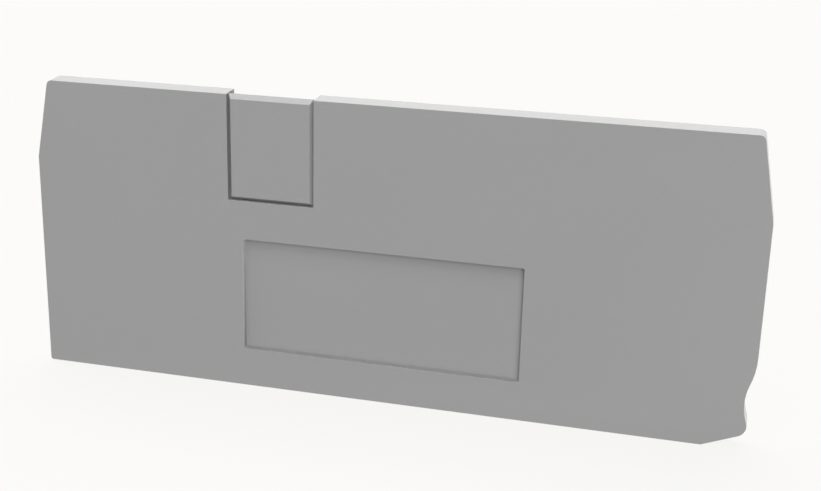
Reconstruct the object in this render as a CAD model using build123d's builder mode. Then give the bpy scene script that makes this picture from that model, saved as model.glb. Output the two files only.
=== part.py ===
from build123d import *
import os

# The end cover closes the open side of a rail-mounted terminal block.
# It is modelled upright, as it stands on the rail, in millimetres.
# X runs along the cover, Z points up from its lower edge, and the outer face looks towards -Y.
# The rim that seats on the block lies in the plane Y = 0, and the pegs reach past it towards +Y.

# Outline
length = 68.8
height = 29.1
thickness = 2.2
shoulder_height = 21.45
shoulder_inset = 1.38
top_corner_radius = 0.55
heel_radius = 0.25
face_edge_radius = 0.05

# Foot end, on the right: the side swings in to a neck and out again to a rounded toe
hip_height = 9.0
hip_share = 0.6
neck_height = 4.6
neck_depth = 0.75
toe_height = 1.7
toe_radius = 1.1
sole_length = 4.2

# Walls of the moulding
front_wall = 1.2
rim_width = 1.4
pocket_corner_radius = 0.5

# Marking field, sunk into the outer face
label_length = 26.9
label_height = 11.21
label_base = 3.89
label_depth = 0.65
label_corner_radius = 0.2

# Break-out panel, scored round three sides and open to the upper edge
panel_width = 8.4
panel_height = 10.2
panel_centre = -10.67
score_depth = 0.6
score_angle = 32
score_web = 0.42
ridge_depth = 0.45
frame_width = 1.0

# Pegs that press into the holes of the block's housing
peg_diameter = 2.4
peg_reach = 2.2
peg_tip = 0.4
peg_spacing_x = 52.0
peg_spacing_z = 15.5
peg_centre_height = 13.6

half_length = length / 2
pocket_depth = thickness - front_wall
panel_wall = score_depth + score_web

# Planes parallel to the outer face, each with its normal towards -Y
rim_plane = Plane.XZ
pocket_floor = Plane.XZ.offset(pocket_depth)
score_plane = Plane.XZ.offset(thickness - score_depth)
outer_face = Plane.XZ.offset(thickness)

# Corners of the outline, anticlockwise from the heel, as seen from outside
heel = (-half_length, 0)
sole_end = (half_length - sole_length, 0)
toe = (half_length, toe_height)
neck = (half_length - neck_depth, neck_height)
hip = (half_length, hip_height)
bend = (half_length - hip_share * neck_depth, hip_height - hip_share * (hip_height - neck_height))
right_shoulder = (half_length, shoulder_height)
top_right = (half_length - shoulder_inset, height)
top_left = (-half_length + shoulder_inset, height)
left_shoulder = (-half_length, shoulder_height)

# The foot's side is an arc from the neck down to the toe. Above the neck two arcs meet in the bend,
# which lies on the straight line between hip and neck, so that they share their slope there.
with BuildSketch() as sharp_outline:
    with BuildLine():
        Polyline(hip, right_shoulder, top_right, top_left, left_shoulder, heel, sole_end, toe)
        TangentArc(neck, toe, tangent=(0, -1))
        TangentArc(neck, bend, tangent=(0, 1))
        TangentArc(hip, bend, tangent=(0, -1))
    make_face()

with BuildSketch(rim_plane) as outline:
    add(sharp_outline.sketch)
    rounded = {toe: toe_radius, heel: heel_radius, top_left: top_corner_radius, top_right: top_corner_radius}
    for corner, radius in rounded.items():
        fillet(outline.vertices().sort_by_distance(corner)[0], radius)

# The panel's rectangle hangs from the upper edge and serves the score and the notch alike
with BuildSketch() as panel:
    with Locations((panel_centre, height)):
        Rectangle(panel_width, panel_height, align=(Align.CENTER, Align.MAX))

with BuildPart() as end_cover:
    # Solid plate with its outer edge slightly broken
    extrude(outline.sketch, amount=thickness)
    fillet(end_cover.faces().sort_by(Axis.Y)[0].edges(), face_edge_radius)

    # Marking field
    with BuildSketch(outer_face):
        with Locations((0, label_base + label_height / 2)):
            RectangleRounded(label_length, label_height, label_corner_radius)
    extrude(amount=-label_depth, mode=Mode.SUBTRACT)

    # The panel is sunk to the depth of the score, and a block with sloping sides rises again
    # from there to the outer face. Its slopes leave a V-shaped score with mitred corners. The
    # block stands past the upper edge, where the ridge below trims it.
    with BuildSketch(outer_face):
        add(panel.sketch)
    extrude(amount=-score_depth, mode=Mode.SUBTRACT)
    with BuildSketch(score_plane):
        with Locations((panel_centre, height - panel_height)):
            Rectangle(panel_width, panel_height + score_depth, align=(Align.CENTER, Align.MIN))
    extrude(amount=score_depth, taper=score_angle)

    # Back pocket inside the rim, which keeps a raised frame round the panel
    with BuildSketch(rim_plane) as pocket:
        add(sharp_outline.sketch)
        offset(amount=-rim_width)
        for corner in (heel, sole_end, toe, right_shoulder, top_right, top_left, left_shoulder):
            fillet(pocket.vertices().sort_by_distance(corner)[0], pocket_corner_radius)
        with Locations((panel_centre, height)):
            RectangleRounded(
                panel_width + 2 * frame_width,
                panel_height + frame_width,
                pocket_corner_radius,
                align=(Align.CENTER, Align.MAX),
                mode=Mode.SUBTRACT,
            )
    extrude(amount=pocket_depth, mode=Mode.SUBTRACT)

    # Notch through the rim, which also thins the panel's wall from behind
    with BuildSketch(rim_plane):
        add(panel.sketch)
    extrude(amount=thickness - panel_wall, mode=Mode.SUBTRACT)

    # The panel's free edge slopes off to the front and to the back, so it ends in a ridge
    with BuildSketch(Plane.YZ.offset(panel_centre)):
        with BuildLine():
            Polyline(
                (-thickness, height - ridge_depth),
                (ridge_depth - thickness, height),
                (panel_wall - thickness, height - panel_wall + ridge_depth),
                (panel_wall - thickness, height + score_depth),
                (-thickness, height + score_depth),
                close=True,
            )
        make_face()
    extrude(amount=panel_width / 2, both=True, mode=Mode.SUBTRACT)

    # Pegs
    with BuildSketch(pocket_floor):
        with Locations((0, peg_centre_height)):
            with GridLocations(peg_spacing_x, peg_spacing_z, 2, 2):
                Circle(peg_diameter / 2)
    extrude(amount=-(pocket_depth + peg_reach))
    chamfer(end_cover.edges().group_by(Axis.Y)[-1], peg_tip)

os.makedirs("parts", exist_ok=True)
end_cover.part.label = "end_cover"
export_step(end_cover.part, "parts/end_cover.step")
print(f"volume {end_cover.part.volume:.1f} mm3, size {end_cover.part.bounding_box().size}")
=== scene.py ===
# %% [markdown]
# # Terminal block end cover
# A thin plate of grey polyamide that closes the open side of the last terminal block on a rail.
# It is a single moulding: a sunk marking field and a scored break-out panel on the outer face,
# a shallow pocket with four pegs on the back.
#
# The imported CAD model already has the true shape, so this lesson is about finish: what light does
# on a thin satin plate, how a mould leaves its edges, its grain and its ejector marks.

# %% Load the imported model
import math

import bmesh
import bpy
from mathutils import Matrix, Vector


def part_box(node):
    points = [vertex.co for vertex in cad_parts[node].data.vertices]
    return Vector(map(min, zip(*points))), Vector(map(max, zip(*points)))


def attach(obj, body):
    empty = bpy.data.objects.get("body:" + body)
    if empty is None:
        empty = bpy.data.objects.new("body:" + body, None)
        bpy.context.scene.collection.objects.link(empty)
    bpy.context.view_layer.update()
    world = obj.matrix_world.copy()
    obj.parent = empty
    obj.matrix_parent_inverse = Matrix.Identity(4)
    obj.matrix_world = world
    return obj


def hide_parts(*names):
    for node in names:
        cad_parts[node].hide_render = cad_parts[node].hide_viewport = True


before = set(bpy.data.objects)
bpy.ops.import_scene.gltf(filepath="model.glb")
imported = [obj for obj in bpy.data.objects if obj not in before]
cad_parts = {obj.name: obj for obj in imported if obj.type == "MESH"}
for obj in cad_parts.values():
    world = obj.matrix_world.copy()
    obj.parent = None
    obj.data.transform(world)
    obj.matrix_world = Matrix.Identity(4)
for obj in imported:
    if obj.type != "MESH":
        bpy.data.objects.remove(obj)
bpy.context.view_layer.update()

MM = 0.001
lowest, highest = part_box("end_cover")
length, depth, height = (highest - lowest) / MM
print(f"end cover {length:.1f} x {depth:.1f} x {height:.1f} mm, nodes {sorted(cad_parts)}")

# %% [markdown]
# ## The camera
# A catalogue view is taken from a little above and a little to one side, so that the thin edges
# show and the face stays readable. The viewpoint is given as a photographer would say it: how far
# round, how high, how far away, and with which lens. The frame is shifted sideways instead of
# turning the camera, as a view camera does, so that the plate keeps the perspective of that place.
#
# A helper turns the two angles into a direction. The lamps are hung with it too.

# %% Directions
def direction(round_front, up):
    """A unit vector away from the plate: degrees to the right of its front, and degrees up."""
    round_front, up = math.radians(round_front), math.radians(up)
    return Vector((
        math.sin(round_front) * math.cos(up),
        -math.cos(round_front) * math.cos(up),
        math.sin(up),
    ))


# %% Viewpoint
camera_round = 16.075
camera_up = 19.429
camera_lean = 0.476
distance = 137.6 * MM
aim = Vector((-4.44, 0, 14.64)) * MM
picture_width = 821
focal_pixels = 1453.2
sensor_width = 36.0
sideways_shift = 0.0853
upward_shift = 0.0006
nearest_seen = 0.01
farthest_seen = 20

# %% Make the camera
backwards = direction(camera_round, camera_up)
lens = bpy.data.cameras.new("catalogue_lens")
lens.sensor_width = sensor_width
lens.lens = focal_pixels / picture_width * sensor_width
lens.shift_x = sideways_shift
lens.shift_y = upward_shift
lens.clip_start = nearest_seen
lens.clip_end = farthest_seen
camera = bpy.data.objects.new("catalogue_camera", lens)
bpy.context.scene.collection.objects.link(camera)
facing = (-backwards).to_track_quat("-Z", "Y").to_matrix().to_4x4()
lean = Matrix.Rotation(math.radians(camera_lean), 4, "Z")
camera.matrix_world = Matrix.Translation(aim + backwards * distance) @ facing @ lean
bpy.context.scene.camera = camera
print(f"lens {lens.lens:.1f} mm at {distance / MM:.0f} mm from the plate")

# %% [markdown]
# ## Wiring nodes in Python
# Materials, the world and geometry trees are all node trees. Clicking nodes together hides the
# sums, so here a socket is wrapped in a small class whose plus, minus and times add Math nodes.
# One method adds every other node: its type, then its settings, then what goes into its sockets.

# %% A socket that does arithmetic
class Wire:
    """An output socket. Arithmetic on it adds Math nodes to its tree."""

    def __init__(self, board, socket):
        self.board = board
        self.socket = socket

    def maths(self, operation, first, second):
        made = self.board.add("ShaderNodeMath", {"operation": operation}, {0: first, 1: second})
        return made("Value")

    def __add__(self, other):
        return self.maths("ADD", self, other)

    def __sub__(self, other):
        return self.maths("SUBTRACT", self, other)

    def __rsub__(self, other):
        return self.maths("SUBTRACT", other, self)

    def __mul__(self, other):
        return self.maths("MULTIPLY", self, other)

    def at_least(self, other):
        return self.maths("MAXIMUM", self, other)

    __radd__ = __add__
    __rmul__ = __mul__


# %% A board that nodes are wired on
class Board:
    """A node tree that is being wired."""

    def __init__(self, tree):
        self.tree = tree
        tree.nodes.clear()

    def add(self, kind, settings=None, sockets=None):
        """Adds a node and returns a function that gives an output: the first, or one by name."""
        made = self.tree.nodes.new(kind)
        for name, value in (settings or {}).items():
            setattr(made, name, value)
        for name, value in (sockets or {}).items():
            if isinstance(value, Wire):
                self.tree.links.new(value.socket, made.inputs[name])
            else:
                made.inputs[name].default_value = value
        return lambda output=0: Wire(self, made.outputs[output])


# %% [markdown]
# ## The set
# The plate stands on a light table, the sheet of white acrylic, lit from below, that catalogue
# photographers use to lose the background. To the camera the table glows pale. A small share of it
# stays an ordinary matt surface, which is the part that can carry the plate's shadow. The Light
# Path node tells the rays apart: those that light the plate pass through the acrylic, so that a
# lamp may hang lower than the table top, while the picture's ground stays white.

# %% Table values
paper_white = (0.965, 0.956, 0.939, 1)
matt_grey = (0.48, 0.48, 0.48, 1)
matt_share = 0.08
floor_size = 6.0


# %% Rays that should see white
def sees_backdrop(board):
    """1 for rays from the camera and for mirrored or transmitted ones, and 0 for soft light."""
    path = board.add("ShaderNodeLightPath")
    seen_or_mirrored = path("Is Camera Ray").at_least(path("Is Glossy Ray"))
    return seen_or_mirrored.at_least(path("Is Transmission Ray"))


# %% Floor
def make_floor():
    half = floor_size / 2
    corners = [
        (-half, -half, lowest.z),
        (half, -half, lowest.z),
        (half, half, lowest.z),
        (-half, half, lowest.z),
    ]
    mesh = bpy.data.meshes.new("floor")
    mesh.from_pydata(corners, [], [(0, 1, 2, 3)])
    floor = bpy.data.objects.new("floor", mesh)
    bpy.context.scene.collection.objects.link(floor)

    paper = bpy.data.materials.new("backdrop_paper")
    paper.use_nodes = True
    board = Board(paper.node_tree)
    glow = board.add("ShaderNodeEmission", None, {"Color": paper_white, "Strength": 1.0})
    matt = board.add("ShaderNodeBsdfDiffuse", None, {"Color": matt_grey})
    clear = board.add("ShaderNodeBsdfTransparent")
    lit = board.add("ShaderNodeMixShader", None, {0: matt_share, 1: glow(), 2: matt()})
    seen = board.add("ShaderNodeMixShader", None, {0: sees_backdrop(board), 1: clear(), 2: lit()})
    board.add("ShaderNodeOutputMaterial", None, {"Surface": seen()})
    mesh.materials.append(paper)
    print(f"floor {floor_size:.0f} m square, level with the plate's lower edge")


make_floor()

# %% [markdown]
# ## Light
# Shadows tell where lamps are. The marking field's upper and right walls throw thin, crisp shadows
# and the score is nearly black along its lower side. So the face is lit by small boxes in front
# and a little to the right: one as low as the table, one half-way up and a weaker one high up. The
# upper edge is much brighter than the face, so a strong box hangs overhead and behind the plate,
# where it can't reach the face. A narrow strip at the right, in line with the plate and lower than
# the table top, brightens the end faces, yet only grazes the outer face and can't get in through
# the back. A weak box far to the left keeps the slope on the score's left side from going black.
#
# Each lamp is given as the plate sees it, by its direction, the angle that it fills and its
# brightness, where 1 is paper white. The size and the watts follow from that. The room adds a
# faint even light, and the lamps are kept out of the camera's sight and out of reflections.

# %% Lamps
# name, degrees round to the right and up from the front, degrees wide and high, brightness
lamp_table = (
    ("low_box", 28, -5, 34, 16, 8.6),
    ("middle_box", 14, 34, 20, 16, 9.6),
    ("high_box", 0, 64, 40, 28, 4.4),
    ("top_box", -159, 67, 60, 36, 8.9),
    ("right_strip", 90.5, -32, 7, 56, 52.0),
    ("left_box", -68, -5, 44, 20, 2.2),
)
lamp_distance = 2.0


# %% Hang the lamps
def hang_lamp(name, round_front, up, wide, high, brightness):
    """A box that fills a given angle as seen from the plate's middle."""
    towards_lamp = direction(round_front, up)
    lamp = bpy.data.lights.new(name, "AREA")
    lamp.shape = "RECTANGLE"
    lamp.size = 2 * lamp_distance * math.tan(math.radians(wide) / 2)
    lamp.size_y = 2 * lamp_distance * math.tan(math.radians(high) / 2)
    lamp.energy = math.pi * brightness * lamp.size * lamp.size_y
    holder = bpy.data.objects.new(name, lamp)
    bpy.context.scene.collection.objects.link(holder)
    holder.location = (lowest + highest) / 2 + towards_lamp * lamp_distance
    holder.rotation_euler = towards_lamp.to_track_quat("Z", "Y").to_euler()
    holder.visible_camera = False
    holder.visible_glossy = False
    print(f"{name}: {lamp.size:.2f} x {lamp.size_y:.2f} m, {lamp.energy:.1f} W")


for row in lamp_table:
    hang_lamp(*row)

# %% Room
room_white = (1, 1, 1, 1)
room_level = 0.09


def make_room():
    world = bpy.data.worlds.new("room")
    bpy.context.scene.world = world
    world.use_nodes = True
    board = Board(world.node_tree)
    backdrop = board.add("ShaderNodeBackground", None, {"Color": paper_white, "Strength": 1.0})
    soft = board.add("ShaderNodeBackground", None, {"Color": room_white, "Strength": room_level})
    seen = board.add("ShaderNodeMixShader", None, {
        0: sees_backdrop(board),
        1: soft(),
        2: backdrop(),
    })
    board.add("ShaderNodeOutputWorld", None, {"Surface": seen()})
    print(f"room light {room_level} of white")


make_room()
bpy.context.scene.view_settings.view_transform = "Standard"

# %% [markdown]
# ## The moulded edges
# A CAD edge is infinitely sharp and never catches light. A mould's edges are cut with a tool, so
# each one on the part has a tiny radius, and that radius is what draws the thin bright line round
# the panel and the marking field. The CAD mesh is loose triangles: a copy is merged, its flat
# faces are joined again, and a Bevel modifier rolls every edge sharper than its angle.

# %% Edge sizes
edge_radius = 0.03 * MM
edge_segments = 2
weld_distance = 0.0005 * MM
flat_angle = math.radians(0.3)
sharp_angle = math.radians(28)


# %% Merge the copy
def merged_copy(node, name):
    """A welded copy of a CAD node's mesh, with its flat faces whole again."""
    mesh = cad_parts[node].data.copy()
    mesh.name = name
    mesh.attributes.remove(mesh.attributes["custom_normal"])
    mesh.attributes.remove(mesh.attributes["sharp_edge"])
    work = bmesh.new()
    work.from_mesh(mesh)
    bmesh.ops.remove_doubles(work, verts=work.verts, dist=weld_distance)
    bmesh.ops.dissolve_limit(
        work,
        angle_limit=flat_angle,
        verts=work.verts,
        edges=work.edges,
    )
    loose = [edge for edge in work.edges if len(edge.link_faces) != 2]
    print(f"{name}: {len(work.faces)} faces, {len(loose)} open edges")
    work.to_mesh(mesh)
    work.free()
    mesh.materials.clear()
    copy = bpy.data.objects.new(name, mesh)
    bpy.context.scene.collection.objects.link(copy)
    return copy


moulding = merged_copy("end_cover", "end_cover_moulding")


# %% Make modifiers final
def bake_modifiers(piece):
    """Turns what the modifiers make into the piece's own plain mesh."""
    depsgraph = bpy.context.evaluated_depsgraph_get()
    result = bpy.data.meshes.new_from_object(
        piece.evaluated_get(depsgraph),
        preserve_all_data_layers=True,
        depsgraph=depsgraph,
    )
    piece.modifiers.clear()
    piece.data = result


# %% Roll the edges
def roll_edges(piece):
    bevel = piece.modifiers.new("rolled_edges", "BEVEL")
    bevel.width = edge_radius
    bevel.segments = edge_segments
    bevel.limit_method = "ANGLE"
    bevel.angle_limit = sharp_angle
    bevel.use_clamp_overlap = False
    bevel.harden_normals = True
    piece.data.polygons.foreach_set("use_smooth", [True] * len(piece.data.polygons))
    bake_modifiers(piece)
    print(f"{piece.name}: {len(piece.data.polygons)} faces after rolling")


roll_edges(moulding)

# %% [markdown]
# ## Satin polyamide
# The mould's face is spark-eroded, which leaves a fine grain that you feel more than see. Under it
# the pigment is not quite even: the melt streams in and cools with faint clouds. So the colour
# drifts by a percent or two over centimetres, the sheen drifts with it, and a very fine bump
# breaks up the reflection.

# %% Plastic values
plastic_grey = 0.30
satin_roughness = 0.46
refractive_index = 1.5
cloud_scale = 70.0
cloud_detail = 3.0
cloud_strength = 0.035
roughness_drift = 0.08
pigment_scale = 2600.0
pigment_detail = 2.0
pigment_strength = 0.03
grain_scale = 6500.0
grain_detail = 3.0
grain_height = 0.004 * MM
noise_roughness = 0.55
noise_middle = 0.5


# %% Plastic
def make_polyamide():
    plastic = bpy.data.materials.new("grey_polyamide")
    plastic.use_nodes = True
    board = Board(plastic.node_tree)
    place = board.add("ShaderNodeTexCoord")("Object")

    def noise(scale, detail):
        return board.add("ShaderNodeTexNoise", None, {
            "Vector": place,
            "Scale": scale,
            "Detail": detail,
            "Roughness": noise_roughness,
        })("Fac")

    clouds = noise(cloud_scale, cloud_detail) - noise_middle
    pigment = noise(pigment_scale, pigment_detail) - noise_middle
    grain = noise(grain_scale, grain_detail)
    tone = (clouds * cloud_strength + pigment * pigment_strength + 1.0) * plastic_grey
    colour = board.add("ShaderNodeCombineColor", None, {"Red": tone, "Green": tone, "Blue": tone})
    bump = board.add("ShaderNodeBump", None, {
        "Height": grain,
        "Distance": grain_height,
        "Strength": 1.0,
    })
    surface = board.add("ShaderNodeBsdfPrincipled", None, {
        "Base Color": colour("Color"),
        "Roughness": clouds * roughness_drift + satin_roughness,
        "IOR": refractive_index,
        "Normal": bump("Normal"),
    })
    board.add("ShaderNodeOutputMaterial", None, {"Surface": surface()})
    print(f"{plastic.name}: {len(board.tree.nodes)} nodes")
    return plastic


moulding.data.materials.clear()
moulding.data.materials.append(make_polyamide())
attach(moulding, "root")
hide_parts("end_cover")

# %% [markdown]
# ## Ejector marks
# When the mould opens, round pins push the moulding off its back half, and each leaves a faint
# raised disc on the pocket's floor. They stand in rows, so they are a job for Geometry Nodes: a
# grid gives the places, one low cone is instanced on each, and the sizes are inputs with names.
# The tree realizes its instances, because a glTF export would drop them, and its result becomes a
# plain mesh. Each cone starts a little inside the wall, so that no gap shows under it.

# %% Mark sizes
mark_columns = 4
mark_rows = 2
column_pitch = 15.0 * MM
row_pitch = 10.0 * MM
mark_radius = 1.2 * MM
mark_height = 0.08 * MM
mark_shoulder = 0.08 * MM
mark_root = 0.02 * MM
mark_sides = 48
front_wall = 1.2 * MM
rows_middle = 9.6 * MM
marks_middle = Vector((0, lowest.y + front_wall - mark_root, rows_middle))
flat_to_upright = math.radians(-90)


# %% Tree for marks in rows
def grid_of_marks():
    """A tree that stands low cones on a grid in the XZ plane, pointing towards +Y."""
    tree = bpy.data.node_groups.new("grid_of_marks", "GeometryNodeTree")
    board = Board(tree)
    sockets = {}
    for name, kind in (
        ("Columns", "NodeSocketInt"),
        ("Rows", "NodeSocketInt"),
        ("Column pitch", "NodeSocketFloat"),
        ("Row pitch", "NodeSocketFloat"),
        ("Radius", "NodeSocketFloat"),
        ("Shoulder", "NodeSocketFloat"),
        ("Height", "NodeSocketFloat"),
        ("Middle", "NodeSocketVector"),
        ("Material", "NodeSocketMaterial"),
    ):
        made = tree.interface.new_socket(name, in_out="INPUT", socket_type=kind)
        sockets[name] = made.identifier
    tree.interface.new_socket("Marks", in_out="OUTPUT", socket_type="NodeSocketGeometry")
    given = board.add("NodeGroupInput")
    grid = board.add("GeometryNodeMeshGrid", None, {
        "Size X": (given("Columns") - 1.0) * given("Column pitch"),
        "Size Y": (given("Rows") - 1.0) * given("Row pitch"),
        "Vertices X": given("Columns"),
        "Vertices Y": given("Rows"),
    })
    cone = board.add("GeometryNodeMeshCone", None, {
        "Vertices": mark_sides,
        "Radius Bottom": given("Radius"),
        "Radius Top": given("Radius") - given("Shoulder"),
        "Depth": given("Height"),
    })
    marks = board.add("GeometryNodeInstanceOnPoints", None, {
        "Points": grid("Mesh"),
        "Instance": cone("Mesh"),
    })
    upright = board.add("GeometryNodeTransform", None, {
        "Geometry": marks("Instances"),
        "Translation": given("Middle"),
        "Rotation": (flat_to_upright, 0, 0),
    })
    real = board.add("GeometryNodeRealizeInstances", None, {"Geometry": upright("Geometry")})
    coated = board.add("GeometryNodeSetMaterial", None, {
        "Geometry": real("Geometry"),
        "Material": given("Material"),
    })
    board.add("NodeGroupOutput", None, {"Marks": coated("Geometry")})
    return tree, sockets


# %% Make the marks
def make_marks():
    marks = bpy.data.objects.new("ejector_marks", bpy.data.meshes.new("ejector_marks"))
    bpy.context.scene.collection.objects.link(marks)
    tree, sockets = grid_of_marks()
    rows = marks.modifiers.new("rows", "NODES")
    rows.node_group = tree
    for name, value in {
        "Columns": mark_columns,
        "Rows": mark_rows,
        "Column pitch": column_pitch,
        "Row pitch": row_pitch,
        "Radius": mark_radius,
        "Shoulder": mark_shoulder,
        "Height": mark_height + mark_root,
        "Middle": marks_middle,
        "Material": moulding.data.materials[0],
    }.items():
        rows[sockets[name]] = value
    bake_modifiers(marks)
    print(f"{len(marks.data.polygons)} faces in {mark_columns * mark_rows} marks")
    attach(marks, "root")


make_marks()
